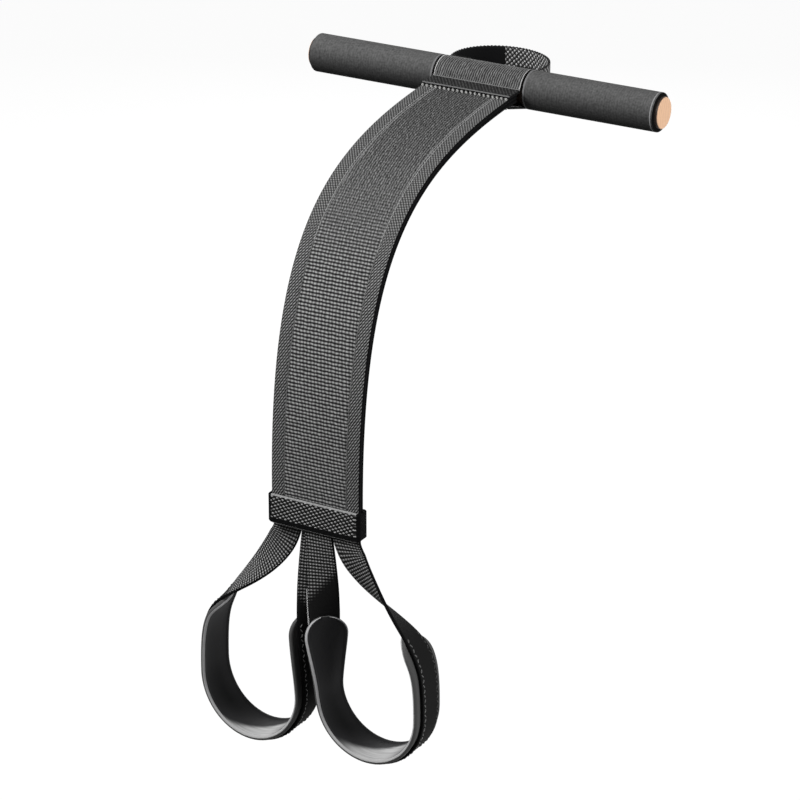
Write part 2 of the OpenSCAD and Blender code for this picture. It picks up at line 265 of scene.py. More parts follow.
def ribbed_webbing(scene):
    """Polypropylene webbing, woven with heavy cross ribs and twill borders.

    The ribs' light floats and dark gaps read as rows of dashes, and the borders as slanting lines. The
    real ribs are about 1.5 mm apart and are drawn twice as coarse, because finer ones would not show."""
    webbing, strap = scene.webbing, scene.strap
    material, shader, add = surface("polypropylene_webbing_ribbed", 0.85, 1.49, 0.06)
    at, _, run, off = lengths(add)
    columns = (webbing.column, "X", 8, 3.2, 0.6, 1.05)
    ribbed = threads(add, at, (webbing.rib, "Y", 0, 1.2, 0.18, 1.0), columns)
    # The ribs lie flat near the bar, where the warp shows instead.
    flat = flecked(add, at, threads(add, at, (0.0022, "X", 3, 3.5, 0.32, 0.74)), 45.0, 1.0, 0.3, 1.65)
    panel = add("Mix", {}, {0: add("MapRange", SOFT, run, 1.4, 2.5), 2: flat, 3: ribbed})
    # Painted shade: the panel is darker near the bar, where the strap faces up.
    panel = add("Math", MULTIPLY, panel, add("MapRange", SOFT, run, 0.2, 3.0, 0.72, 1.0))
    # The twill turns over where the strap bends down, as a herringbone does.
    upper = threads(add, at, (0.0020, "X", 33, 1.4, 0.34, 0.8))
    lower = threads(add, at, (0.0018, "X", -33, 1.0, 0.14, 0.92))
    twill = add("Mix", {}, {0: add("MapRange", SOFT, run, 1.9, 2.3), 2: upper, 3: lower})
    border = add("Math", MULTIPLY, twill, threads(add, at, (0.0024, "Y", 15, 0.5, 0.6, 1.0)))
    edge = (strap.width / 2 - strap.border) * MAP
    # Near the bar the border reaches 2 mm further in than its stitch row and ends in a pale thread.
    near_bar = add("MapRange", SOFT, run, 2.2, 1.2)
    reach = add("Math", {}, off, add("MapRange", {}, near_bar, 0, 1, 0.0, 0.02))
    in_border = add("MapRange", SOFT, reach, edge - 0.01, edge + 0.01)
    pale = add("Math", MULTIPLY, between(add, reach, edge - 0.004, edge + 0.003), near_bar)
    sides = add("Math", ABOVE, off, strap.width / 2 * MAP + 0.0008)
    marks = [(pale, linear("#8e8e8e")), (sides, webbing.edge)]
    weave(add, shader, add("Mix", {}, {0: in_border, 2: panel, 3: border}), webbing, marks)
    return material


# Where the legs' painted shade begins and ends, in units of 100 mm from the loop's lowest point.
LEG_SHADE_SPANS = {"left": ((-1.58, -1.45), (1.54, 1.40)), "right": ((-1.84, -1.71), (1.70, 1.55))}
# Beyond this distance from the middle line lie the dark sides of 25 mm webbing.
NARROW_EDGE = 0.1255


def grid_webbing(scene, name):
    """Polyester webbing in a plain weave, for the legs: a grid of light floats on near-black ground.

    The threads are drawn at 2.6 mm for 1.2 mm ones, because finer ones would not show. Round the pads,
    from the elbow on and up to 43 mm below the band, or 58 on the left, painted shade hides it, smooth near
    black."""
    webbing = scene.webbing
    material, shader, add = surface(f"polyester_webbing_plain_weave_{name}", 0.85, 1.5, 0.05)
    at, across, run, off = lengths(add)
    woven = threads(add, at, (0.0027, "Y", 0, 0.5, 0.05, 1.0), (0.0026, "X", 0, 0.5, 0.4, 1.0))
    slanted = add("Math", SUBTRACT, run, across)
    start, end = LEG_SHADE_SPANS[name]
    # Painted shade: round the pads the weave fades out and the legs turn smooth near black.
    in_leg_shade = add("Math", MULTIPLY, add("MapRange", SOFT, run, *start), add("MapRange", SOFT, slanted, *end))
    bare = add("Math", MULTIPLY, woven, add("MapRange", {}, in_leg_shade, 0, 1, 1.0, 0.08))
    marks = [(in_leg_shade, webbing.cover), (add("Math", ABOVE, off, NARROW_EDGE), webbing.edge)]
    weave(add, shader, bare, webbing, marks)
    return material


def end_webbing(scene):
    """The same plain weave, on the rear loop's sewn ends."""
    material, shader, add = surface("polyester_webbing_sewn_end", 0.78, 1.5, 0.12)
    at = lengths(add)[0]
    woven = threads(add, at, (0.0022, "Y", 0, 0.3, 0.05, 1.0), (0.0024, "X", 0, 0.3, 0.4, 1.0))
    weave(add, shader, woven, scene.webbing)
    return material


def zigzag_webbing(scene):
    """Coarse zigzag-woven webbing of the rear loop, with big pale floats that change direction."""
    webbing = scene.webbing
    material, shader, add = surface("polyester_webbing_zigzag", 0.7, 1.5, 0.2)
    at, _, _, off = lengths(add)
    woven = threads(add, at, (0.0029, "X", 52, 1.2, 0.1, 1.5), (0.0031, "X", -46, 1.2, 0.15, 1.4))
    edges = add("Math", ABOVE, off, NARROW_EDGE)
    weave(add, shader, woven, webbing, [(edges, webbing.edge)], 0.0006)
    return material


def diamond_webbing(scene):
    """Diamond-woven polyester band: light points on dark ground, a painted highlight on its top edge and
    painted shade along its lower edge.
    """
    edge = scene.webbing.edge
    material, shader, add = surface("polyester_webbing_diamond", 0.85, 1.5, 0.05)
    at, across, _, _ = lengths(add)
    woven = threads(add, at, (0.0032, "X", -46, 1.2, 0.1, 1.15), (0.0026, "X", 27, 1.2, 0.1, 1.1))
    from_middle = add("Math", ABSOLUTE, places(add)[1])
    marks = [
        # Painted shade: the band's lowest strip is near black.
        (add("Math", BELOW, across, -0.076), edge),
        # Painted highlight: a pale line along the band's top edge.
        (add("Math", ABOVE, across, 0.118), linear("#a0a0a0")),
        (add("Math", ABOVE, from_middle, 0.0386), edge),
        (add("Math", ABOVE, across, 0.2), edge),
    ]
    weave(add, shader, woven, scene.webbing, marks, 0.0005)
    return material


def sleeve_webbing(scene):
    """Fine-ribbed webbing wound round the bar: close ribs that run round it, and a painted highlight along
    both ends.
    """
    material, shader, add = surface("polypropylene_webbing_fine_rib", 0.8, 1.49, 0.12)
    at, _, _, off = lengths(add)
    woven = flecked(add, at, threads(add, at, (0.0020, "X", 4, 2.5, 0.2, 0.68)), 26.0, 2.0, 0.5, 1.3)
    # Painted highlight: a pale line along each end of the sleeve, next to the grips.
    edge_highlight, side = add("Math", ABOVE, off, 0.387), add("Math", ABOVE, off, 0.401)
    weave(add, shader, woven, scene.webbing, [(edge_highlight, linear("#c0c0c0")), (side, scene.webbing.edge)])
    return material


def tab_webbing(scene):
    """The flap's facing: darker webbing woven on the slant, with a painted highlight along its upper edge,
    where it folds.
    """
    material, shader, add = surface("polypropylene_webbing_slant", 0.8, 1.49, 0.12)
    at, _, run, _ = lengths(add)
    woven = flecked(add, at, threads(add, at, (0.0025, "X", 35, 2.0, 0.1, 0.38)), 22.0, 2.0, 0.2, 1.4)
    # Painted highlight: a pale line along the upper edge, at the fold.
    fold_highlight = add("Math", BELOW, run, 0.015)
    weave(add, shader, woven, scene.webbing, [(fold_highlight, linear("#808080"))])
    return material


def shadow_sheet(scene):
    """Painted shadow: a near-black, faintly flecked sheet over the rear loop's inner face where it lies in
    shadow.
    """
    material, shader, add = surface("polyester_webbing_smooth_ply", 0.75, 1.5, 0.1)
    fine = add("TexNoise", {}, {"Scale": 600.0, "Detail": 2.0})
    dark = scene.webbing.edge
    colour_mix = add("Mix", COLOURS, {0: fine, 6: dark, 7: shaded(dark, 2.2)}, out=2)
    shader.id_data.links.new(colour_mix, shader.inputs["Base Color"])
    return material


def nylon_thread(name, pale, share=0.4):
    """Bonded nylon thread, twisted from three strands: pale, with a dark slant where they meet.

    share is how bright the dark slant is. Rows that only just show on the webbing are of a quieter tone."""
    material, shader, add = surface(f"nylon_thread_{name}", 0.5, 1.53, 0.4)
    place = add("TexCoord", {}, out="Object")
    inputs = {"Vector": place, "Scale": 320.0, "Distortion": 0.6}
    strands = add("TexWave", {"bands_direction": "DIAGONAL"}, inputs, out="Fac")
    show(add, shader, shaded(pale, share), [(strands, pale)], 0.5, 0.0002, strands)
    return material


def ground_foam(scene):
    """Closed-cell rubber foam, ground round on a lathe: satin, with a fine pore grain and turning lines."""
    material, shader, add = surface("rubber_foam_ground", 0.9, 1.52, 0.02)
    place, x, _, z = places(add)
    inputs = {"Vector": place, "Scale": REPEAT / 0.0022, "Distortion": 1.5, "Detail": 2.0}
    lines = add("MapRange", {}, add("TexWave", {"bands_direction": "X"}, inputs, out="Fac"), 0, 1, 0.93, 1.05)
    grain = flecked(add, place, lines, 520.0, 3.0, 0.35, 1.65)
    # Painted shade and light: the foam is coloured darker on its lower side and paler on its upper side.
    grain = add("Math", MULTIPLY, grain, add("MapRange", SOFT, z, -0.006, 0.014, 0.5, 1.18))
    off, right = add("Math", ABSOLUTE, x), add("Math", ABOVE, x, 0.0)
    marks = [
        # Painted highlight: a pale line just inside the right grip's outer end, on its rounded edge.
        (add("Math", MULTIPLY, between(add, off, 0.1543, 0.1553), right), linear("#9a9a9b")),
        # Painted highlight: a pale band at both grips' inner ends, next to the sleeve.
        (add("Math", BELOW, off, 0.043), linear("#7d7d7e")),
        (add("Math", ABOVE, off, 0.1565), linear("#121212")),
    ]
    show(add, shader, tinted(add, scene.bar.foam, grain), marks, 0.35, 0.0003, grain)
    return material


def sawn_beech(scene):
    """Beech dowel with a sawn end: warm pale wood, faint growth rings and short dark flecks."""
    material, shader, add = surface("beech_sawn", 0.55, 1.5, 0.35)
    place, _, y, z = places(add)
    # The rings' centre lies 60 mm in front of the dowel, so they cross its end as gentle arcs 3 mm apart.
    moved = add("Mapping", {}, {"Vector": place, "Location": (0, 0.06, 0.015)})
    kind = {"wave_type": "RINGS", "rings_direction": "X"}
    inputs = {"Vector": moved, "Scale": REPEAT / 0.0030, "Distortion": 2.0, "Detail": 2.0}
    rings = add("MapRange", {}, add("TexWave", kind, inputs, out="Fac"), 0, 1, 0.92, 1.03)
    tone = flecked(add, place, rings, 420.0, 4.0, 0.92, 1.08)
    # Painted shade: the dowel's round side, which lies in shade between and beyond the grips, is coloured
    # dark brown; only its sawn ends keep the wood's colour.
    flat = add("CombineXYZ", {}, {1: y, 2: z})
    radius = add("VectorMath", {"operation": "LENGTH"}, flat, out="Value")
    side_shade = add("MapRange", SOFT, radius, 0.0124, 0.0129)
    base = tinted(add, scene.bar.beech, tone)
    show(add, shader, base, [(side_shade, linear("#2a1f18"))], 0.2, 0.0002, tone)
    return material


def pad_lining(scene):
    """Smooth moulded lining over a thin foam: near black inside, with a painted highlight on its rim and a
    painted sheen on the front of its bottom.

    A very fine pebble breaks its sheen."""
    loops = scene.loops
    material, shader, add = surface("lining_moulded_smooth", 0.6, 1.5, 0.05)
    place, x, y, _ = places(add)
    at, _, run, off = lengths(add)
    pebble = add("TexNoise", {}, {"Vector": place, "Scale": 700.0, "Detail": 2.0})
    cloud = add("TexNoise", {}, {"Vector": place, "Scale": 35.0, "Detail": 2.0})
    half = loops.pad_width / 2 * MAP
    away = add("Math", ABSOLUTE, run)
    # The painted sheen narrows to the left, where it keeps to the front rim.
    from_left = add("Math", {"operation": "FLOORED_MODULO"}, x, 2 * LOOP_X * MM)
    depth = add("Math", SUBTRACT, y, add("Math", MULTIPLY, from_left, 0.6))
    front = add("MapRange", SOFT, depth, -0.296, -0.304)
    sheen_patch = add("Math", MULTIPLY, add("MapRange", SOFT, away, 0.36, 0.1), front)
    # Painted sheen: the bottom's front half is coloured pale, in streaks that run along it.
    stretched = add("Mapping", {}, {"Vector": at, "Scale": (40, 3, 1)})
    painted_sheen = flecked(add, stretched, sheen_patch, 1.0, 2.0, 0.3, 1.5)
    # Painted highlight: the rolled rim is coloured pale, paler still towards the bottom.
    rim_share = add("MapRange", SOFT, away, 0.7, 0.1)
    rim = add("Mix", COLOURS, {0: rim_share, 6: loops.rim, 7: linear("#b8b8b8")}, out=2)
    marks = [
        (cloud, shaded(loops.pad, 1.3)),
        (painted_sheen, linear("#c8c8c8")),
        (add("MapRange", SOFT, off, half * 0.91, half * 0.945), rim),
        (add("Math", ABOVE, off, half + 0.01), linear("#565656")),
    ]
    show(add, shader, loops.pad, marks, 0.25, 0.0002, pebble)
    rough = add("MapRange", {}, cloud, 0, 1, 0.52, 0.68)
    shader.id_data.links.new(rough, shader.inputs["Roughness"])
    return material


# ---------------------------------------------------------------- meshes


def new_piece(name, points, faces, maps=None):
    """A mesh object with its faces outwards and, where maps are given, its map of lengths."""
    mesh = bpy.data.meshes.new(name)
    mesh.from_pydata(points, [], faces)
    if maps:
        layer = mesh.uv_layers.new(name="lengths")
        flat = [value for face in maps for corner in face for value in corner]
        layer.uv.foreach_set("vector", flat)
    mesh.update()
    mesh.shade_smooth()
    mesh.set_sharp_from_angle(angle=math.radians(50))
    piece = bpy.data.objects.new(name, mesh)
    bpy.context.scene.collection.objects.link(piece)
    return piece


def sweep(name, stations, profile, reshape=None, ring=False, turned=False):
    """Sweeps a closed profile along stations and maps its lengths, in units of 100 mm.

    A station is (middle, across, out, run), with run its distance along. A profile point is
    (across, out, is_face): faces map by their distance across, and sides by a distance beyond the edge.
    reshape(station number, across, out) may move a profile point. ring joins the last station to the
    first, and turned swaps the map's two directions."""
    count, edge = len(profile), max(p[0] for p in profile) + 0.002
    points = []
    for i, (middle, across, out, _) in enumerate(stations):
        for a, h, _ in profile:
            a, h = reshape(i, a, h) if reshape else (a, h)
            points.append(middle + a * across + h * out)
    faces, maps = [], []
    last = len(stations) if ring else len(stations) - 1
    for i in range(last):
        n = (i + 1) % len(stations)
        start = stations[i][3]
        end = stations[n][3] if n else start + (stations[1][3] - stations[0][3])
        for j in range(count):
            k = (j + 1) % count
            a, b = (profile[j][0], profile[k][0]) if profile[j][2] and profile[k][2] else (edge, edge)
            faces.append((i * count + j, i * count + k, n * count + k, n * count + j))
            corners = [(a, start), (b, start), (b, end), (a, end)]
            maps.append([((v, u) if turned else (u, v)) for u, v in corners])
    if not ring:
        faces += [tuple(range(count - 1, -1, -1)), tuple(last * count + j for j in range(count))]
        maps += [[(edge, 0.0)] * count] * 2
    scaled = [[(u * MAP, v * MAP) for u, v in face] for face in maps]
    piece = new_piece(name, points, faces, scaled)
    outwards(piece)
    return piece


def outwards(piece):
    """Turns a closed mesh's faces outwards, told by the sign of its volume."""
    mesh = piece.data
    volume = 0.0
    for face in mesh.polygons:
        corners = [mesh.vertices[i].co for i in face.vertices]
        for i in range(1, len(corners) - 1):
            volume += corners[0].dot(corners[i].cross(corners[i + 1]))
    if volume < 0:
        mesh.flip_normals()


def webbing_profile(width, thick, corner, dips=(), plies=1):
    """A webbing's closed section. dips are (place, depth, half width) grooves on both faces."""
    half, deep = width / 2, thick / 2
    xs = {-half + corner, half - corner}
    for i in range(1, 12):
        xs.add(-half + corner + (width - 2 * corner) * i / 12)
    for place, _, wide in dips:
        for s in (-1, 1):
            xs.update(s * place + k * wide for k in (-2, -1, -0.5, 0, 0.5, 1, 2))

    def face(x):
        return deep - sum(depth * math.exp(-(((abs(x) - place) / wide) ** 2)) for place, depth, wide in dips)

    top = [(x, face(x), True) for x in sorted(xs)]
    side = [(half, (deep - 0.35 * corner) * 0.72), (half, (deep - 0.35 * corner) * 0.35)]
    if plies == 2:
        side[1:] = [(half, deep * 0.3), (half - corner, 0.0)]
    right = [(x, h, False) for x, h in side]
    right += [(x, -h, False) for x, h in reversed(side) if h > 0]
    back = [(x, -h, True) for x, h, _ in reversed(top)]
    left = [(-x, h, False) for x, h, _ in reversed(right)]
    return top + right + back + left


def beads(name, spots, length, thick):
    """Short arched thread stitches as one mesh. A spot is (place, along, up)."""
    sides, points, faces = 6, [], []
    shape = [(-0.5, 0.35, 0.0), (-0.32, 0.9, 0.25), (0.0, 1.0, 0.5), (0.32, 0.9, 0.25), (0.5, 0.35, 0.0)]
    for place, along, up in spots:
        along, up = along.normalized(), up.normalized()
        across = along.cross(up)
        start = len(points)
        for t, fat, rise in shape:
            middle = place + along * length * t + up * thick * (rise * 0.5)
            for k in range(sides):
                a = 2 * math.pi * k / sides
                points.append(middle + (across * math.cos(a) + up * math.sin(a)) * thick / 2 * fat)
        for i in range(len(shape) - 1):
            for k in range(sides):
                n = (k + 1) % sides
                a, b = start + i * sides, start + (i + 1) * sides
                faces.append((a + k, a + n, b + n, b + k))
        faces.append(tuple(start + k for k in range(sides - 1, -1, -1)))
        faces.append(tuple(start + (len(shape) - 1) * sides + k for k in range(sides)))
    return new_piece(name, points, faces)


def finish_with(piece, material, slot, *nodes):
    """Gives a piece its material and lets it stand for its solids, which it hides. slot is not used."""
    piece.data.materials.append(material)
    if nodes:
        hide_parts(*nodes)
    return piece


# ---------------------------------------------------------------- curves, in millimetres

# The strap's upper, then front, face seen from its side, as (y, z): four handles of one curve.
STRAP_CURVE = [Vector((-33.5, 1)), Vector((-190.5, -10)), Vector((-270, -54)), Vector((-270, -266))]
HOLD = 12
BAND_BOTTOM = -290.5
STRAP_MIDDLE = -266.8
FRONT_LEG = -268.7
HINGE = -292.2
LOOP_X, LOOP_W, LOOP_SIDE, LOOP_BOWL = 54.9, 94.4, 131.5, 49.2
SIDE_X = LOOP_X + LOOP_W / 2
ELBOW = Vector((SIDE_X - 26, -60))
OUTER_X, INNER_X = 27.5, 2.2
LEFT_LENGTHENED = 1 + 10 / (LOOP_SIDE + LOOP_BOWL)
PAD_ENDS = (1.09, 3.5)
OUTER_CURVE = [Vector((OUTER_X, 0)), Vector((OUTER_X + 5.5, -20)), ELBOW - Vector((22, -20)), ELBOW]
SHOULDER_CURVE = [
    ELBOW,
    ELBOW + Vector((22, -20)),
    Vector((SIDE_X, 42 - LOOP_SIDE)),
    Vector((SIDE_X, -LOOP_SIDE)),
]
INNER_CURVE = [
    Vector((SIDE_X - LOOP_W, -LOOP_SIDE)),
    Vector((SIDE_X - LOOP_W, 18 - LOOP_SIDE)),
    Vector((INNER_X + 4.4, -28)),
    Vector((INNER_X, 0)),
]


def on_curve(c, t):
    """The point at t on a cubic curve."""
    s = 1 - t
    return s**3 * c[0] + 3 * s * s * t * c[1] + 3 * s * t * t * c[2] + t**3 * c[3]


def curve_heading(c, t):
    """The unit direction at t on a cubic curve."""
    s = 1 - t
    return (s * s * (c[1] - c[0]) + 2 * s * t * (c[2] - c[1]) + t * t * (c[3] - c[2])).normalized()


def strap_stations(spacing):
    """Stations down the middle of the strap, from inside the flaps to inside the band."""
    steps = [i / 3000 for i in range(3001)]
    fine = [(on_curve(STRAP_CURVE, t), curve_heading(STRAP_CURVE, t)) for t in steps]
    start = STRAP_CURVE[0]
    line = [(start + Vector((HOLD, 0)), Vector((-1, 0))), (start - Vector((0.5, 0)), Vector((-1, 0)))]
    gone = 0.0
    for (p, d), (q, _) in zip(fine, fine[1:]):
        gone += (q - p).length
        if gone >= spacing:
            line.append((q, d))
            gone = 0.0
    line += [(Vector((-270, -272)), Vector((0, -1))), (Vector((-270, BAND_BOTTOM + 6)), Vector((0, -1)))]
    stations, length = [], 0.0
    for i, (p, d) in enumerate(line):
        length += (p - line[i - 1][0]).length if i else 0
        out = Vector((0, d[1], -d[0]))
        middle = Vector((0, p[0], p[1])) - 3.2 * out
        stations.append((middle * MM, RIGHT, out, length * MM))
    return stations


def smooth(x):
    """A soft step from 0 to 1."""
    x = min(1.0, max(0.0, x))
    return x * x * (3 - 2 * x)


def loop_line(u):
    """The loops' pattern at u: 0 to 1 outer leg, 1 to 2 shoulder, 2 to 3 bowl, 3 to 4 inner leg."""
    if u <= 1:
        return on_curve(OUTER_CURVE, max(0.0, u))
    if u <= 2:
        return on_curve(SHOULDER_CURVE, u - 1)
    if u <= 3:
        a = math.pi * (u - 2)
        return Vector((LOOP_X + LOOP_W / 2 * math.cos(a), -LOOP_SIDE - LOOP_BOWL * math.sin(a)))
    return on_curve(INNER_CURVE, min(4.0, u) - 3)


def loop_station(u, side):
    """The middle, across and pad-side directions of a loop at u, in the row's frame."""
    p = loop_line(u)
    heading = (loop_line(min(4, u + 0.01)) - loop_line(max(0, u - 0.01))).normalized()
    upright = Vector((0, -1 if u < 2.5 else 1))
    k = smooth(-p[1] / 20)
    d = (k * heading + (1 - k) * upright).normalized()
    a = math.pi / 2 * smooth((-p[1] - 1) / (85 if u < 2.5 else 144))
    pad_side = Vector((math.sin(a) * d[1], -math.cos(a), -math.sin(a) * d[0]))
    across = Vector((d[0], 0, d[1])).cross(pad_side)
    middle = Vector((p[0], 0, p[1]))
    if side < 0:
        middle = Vector((-middle[0], 0, middle[2] * LEFT_LENGTHENED))
        pad_side = Vector((-pad_side[0], -pad_side[1], pad_side[2]))
        across = Vector((-across[0], -across[1], across[2]))
    y = FRONT_LEG if side > 0 else 2 * STRAP_MIDDLE - FRONT_LEG
    return (middle + Vector((0, y, HINGE))) * MM, across, pad_side


def with_runs(raw, from_lowest=False):
    """Adds to (middle, across, out) stations their distance along, from the first or the lowest one."""
    out, run = [], 0.0
    for i, s in enumerate(raw):
        run += (s[0] - raw[i - 1][0]).length if i else 0
        out.append((s[0], s[1], s[2], run))
    start = min(out, key=lambda s: s[0][2])[3] if from_lowest else 0.0
    return [(s[0], s[1], s[2], s[3] - start) for s in out]


# ---------------------------------------------------------------- operators


class TRAINER_OT_stage(bpy.types.Operator):
    """Makes the floor, the background, the lights and the camera."""

    bl_idname = "trainer.stage"
    bl_label = "Stage"

    def execute(self, context):
        scene, stage = context.scene, context.scene.stage
        scene.view_settings.view_transform = "Standard"
        corners = [Vector((x, y, -0.78)) for x, y in ((-9, -6), (9, -6), (9, 12), (-9, 12))]
        floor = new_piece("floor", corners, [(0, 1, 2, 3)])
        material, shader, add = surface("floor_matt_paint", 0.9, 1.5, 0.1)
        mottle = add("TexNoise", {}, {"Scale": 4.0})
        pale = add("Mix", COLOURS, {0: mottle, 6: linear("#585858"), 7: linear("#5c5c5c")}, out=2)
        links = material.node_tree.links
        links.new(pale, shader.inputs["Base Color"])
        shader.inputs["Emission Color"].default_value = stage.backdrop
        links.new(add("Math", MULTIPLY, shown_rays(add), 0.94), shader.inputs["Emission Strength"])
        floor.data.materials.append(material)

        scene.world = bpy.data.worlds.new("studio")
        scene.world.use_nodes = True
        tree = scene.world.node_tree
        add = partial(add_node, tree)
        background = tree.nodes["Background"]
        background.inputs["Color"].default_value = stage.backdrop
        strength = add("MapRange", {}, shown_rays(add), 0, 1, stage.fill, 1.0)
        tree.links.new(strength, background.inputs["Strength"])

        middle = Vector((0, -0.13, -0.2))
        lamps = (
            ("key", stage.key, 1.1, Vector((-1.40, -1.55, 1.75))),
            ("back", stage.back, 1.0, Vector((-1.1, 2.0, 0.3))),
            ("side", stage.side, 1.2, Vector((2.4, -0.3, 0.3))),
        )
        for name, power, wide, place in lamps:
            lamp = bpy.data.lights.new(name, "AREA")
            lamp.energy = power
            lamp.size = wide
            holder = bpy.data.objects.new(name, lamp)
            holder.location = place
            holder.rotation_euler = (middle - place).to_track_quat("-Z", "Y").to_euler()
            scene.collection.objects.link(holder)

        lens = bpy.data.cameras.new("camera")
        lens.lens = 162
        lens.sensor_width = 36
        camera = bpy.data.objects.new("camera", lens)
        camera.location = (1.3250, -2.4333, 0.8997)
        camera.rotation_euler = (math.radians(90 - 23.05), 0, math.radians(30))
        scene.collection.objects.link(camera)
        scene.camera = camera
        return {"FINISHED"}


class TRAINER_OT_bar(bpy.types.Operator):
    """Gives the dowel and the two foam grips their materials and soft edges."""

    bl_idname = "trainer.bar"
    bl_label = "Bar"

    def execute(self, context):
        scene = context.scene
        foam, beech = ground_foam(scene), sawn_beech(scene)
        for name, material in (("dowel", beech), ("left_grip", foam), ("right_grip", foam)):
            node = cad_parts[name]
            node.data.materials.clear()
            node.data.materials.append(material)
            soft = node.modifiers.new("soft edges", "BEVEL")
            soft.width = scene.bar.edge_round
            soft.segments = 3
            soft.angle_limit = math.radians(40)
        return {"FINISHED"}


class TRAINER_OT_sleeve(bpy.types.Operator):
    """Winds the webbing sleeve round the bar, with its two flaps, and sews the strap in."""

    bl_idname = "trainer.sleeve"
    bl_label = "Sleeve and seam"

    def execute(self, context):
        scene = context.scene
        path = [(-33.5, 2), (-28, 2), (-23, 2), (-19.5, 2.05), (-17.4, 2.35), (-16, 3), (-15.1, 4.2)]
        turns = [math.radians(160 - 3.0 * i) for i in range(89)]
        path += [(15 * math.cos(a), 15 * math.sin(a)) for a in turns]
        path += [(-3.97, -14.47), (-11.3, -12.46), (-18.6, -10.46), (-26, -8.43), (-33.24, -6.44)]
        raw = []
        for i, (y, z) in enumerate(path):
            a, b = path[max(0, i - 1)], path[min(len(path) - 1, i + 1)]
            along = Vector((0, b[0] - a[0], b[1] - a[1])).normalized()
            raw.append((Vector((0, y, z)) * MM, RIGHT, RIGHT.cross(along)))
        profile = webbing_profile(0.080, 0.0019, 0.0006)
        sleeve = sweep("sleeve_webbing", with_runs(raw), profile)
        finish_with(sleeve, sleeve_webbing(scene), "webbing", "bar_sleeve")
        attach(sleeve, "strap")

        path = [(-15.9, 3.85), (-16.9, 3.62), (-18.5, 3.5), (-22, 3.42), (-26, 3.36), (-30, 3.3)]
        path.append((-33.6, 3.2))
        facing = Vector((0, 0.08, 1)).normalized()
        raw = [(Vector((0, y, z)) * MM, RIGHT, facing) for y, z in path]
        tab = sweep("sleeve_tab", with_runs(raw), webbing_profile(0.0796, 0.0010, 0.0004))
        finish_with(tab, tab_webbing(scene), "webbing")
        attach(tab, "strap")

        spots = []
        for i in range(20):
            x = (i - 9.5) * 4.0
            for z, up in ((1.25, 1), (-5.65, -1)):
                lean = 1.0 if i % 2 else 0.8
                spots.append((Vector((x, -36.3, z)) * MM, Vector((lean, -1, -0.07)), Vector((0, 0, up))))
        seam = beads("seam_beads", spots, 0.0042, 0.0020)
        finish_with(seam, nylon_thread("seam", linear("#b0b0ae")), "thread", "seam_stitching")
        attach(seam, "strap")
        return {"FINISHED"}


class TRAINER_OT_rear_loop(bpy.types.Operator):
    """Makes the webbing loop behind the bar and sews its ends to the sleeve."""

    bl_idname = "trainer.rear_loop"
    bl_label = "Rear loop"

    def execute(self, context):
        scene = context.scene
        half_wide, middle, long, short = 40.9, 24.0, 42.0, 34.9
        steps = 150
        raw = []
        for i in range(steps + 1):
            a = math.radians(-20.2 + 220.4 * i / steps)
            deep = long if math.sin(a) < 0 else short
            place = Vector((half_wide * math.cos(a), middle + deep * math.sin(a), 0))
            out = Vector((math.cos(a) / half_wide, math.sin(a) / deep, 0)).normalized()
            raw.append((place * MM, UP, out))
        stations = with_runs(raw)

        pitch, swell = 0.0030, 0.00035

        def scallop(i, a, h):
            if abs(a) > 0.0110:
                a += math.copysign(swell, a) * math.cos(2 * math.pi * stations[i][3] / pitch)
            return a, h

        loop = sweep("rear_loop_webbing", stations, webbing_profile(0.0246, 0.0020, 0.0006), scallop)
        # Its ends lie just off the sleeve, this far from the bar's axis.
        seat = 0.01632
        for vertex in loop.data.vertices:
            y, z = vertex.co[1], vertex.co[2]
            if y < 0.02 and math.hypot(y, z) < seat:
                vertex.co[1] = math.sqrt(max(0.0, seat * seat - z * z))
        finish_with(loop, zigzag_webbing(scene), "webbing", "rear_loop")
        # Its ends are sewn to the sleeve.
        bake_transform(loop)

        # Painted shadow: a thin near-black sheet lies along the inside of the loop's left back part.
        shaded_stretch = [s[:3] for s in stations if s[0][0] < -0.013 and s[0][1] > 0.019]
        shaded_stretch = [(m - 0.00115 * out, across, out) for m, across, out in shaded_stretch]
        inner = sweep("rear_loop_lap", with_runs(shaded_stretch), webbing_profile(0.0242, 0.0006, 0.0002))
        finish_with(inner, shadow_sheet(scene), "webbing")
        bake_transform(inner)

        ends, spots = [], []
        for side in (-1, 1):
            raw = []
            for i in range(17):
                a = math.radians(-50 + 100 * i / 16)
                out = Vector((0, math.cos(a), math.sin(a)))
                place = Vector((side * 28.7 * MM, 0, 0)) + out * 17.1 * MM
                raw.append((place, RIGHT, out))
            profile = webbing_profile(0.016, 0.0020, 0.0006)
            ends.append(sweep("sewn_end", with_runs(raw), profile, turned=True))
            for x in (side * 24.7, side * 32.7):
                for i in range(13):
                    a = math.radians(-34 + 68 * i / 12)
                    out = Vector((0, math.cos(a), math.sin(a)))
                    slant = Vector((1, 0.25 * -math.sin(a), 0.25 * math.cos(a) * (1 if i % 2 else -1)))
                    spots.append((Vector((x, 0, 0)) * MM + out * 18.2 * MM, slant, out))
        with bpy.context.temp_override(
            active_object=ends[0], selected_editable_objects=ends, selected_objects=ends
        ):
            bpy.ops.object.join()
        ends[0].name = "rear_loop_sewn_ends"
        finish_with(ends[0], end_webbing(scene), "webbing", "rear_loop_ends")
        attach(ends[0], "strap")
        tacks = beads("rear_loop_bar_tacks", spots, 0.0024, 0.0010)
        finish_with(tacks, nylon_thread("twisted", scene.webbing.thread, 0.45), "thread", "rear_loop_tacks")
        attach(tacks, "strap")
        return {"FINISHED"}


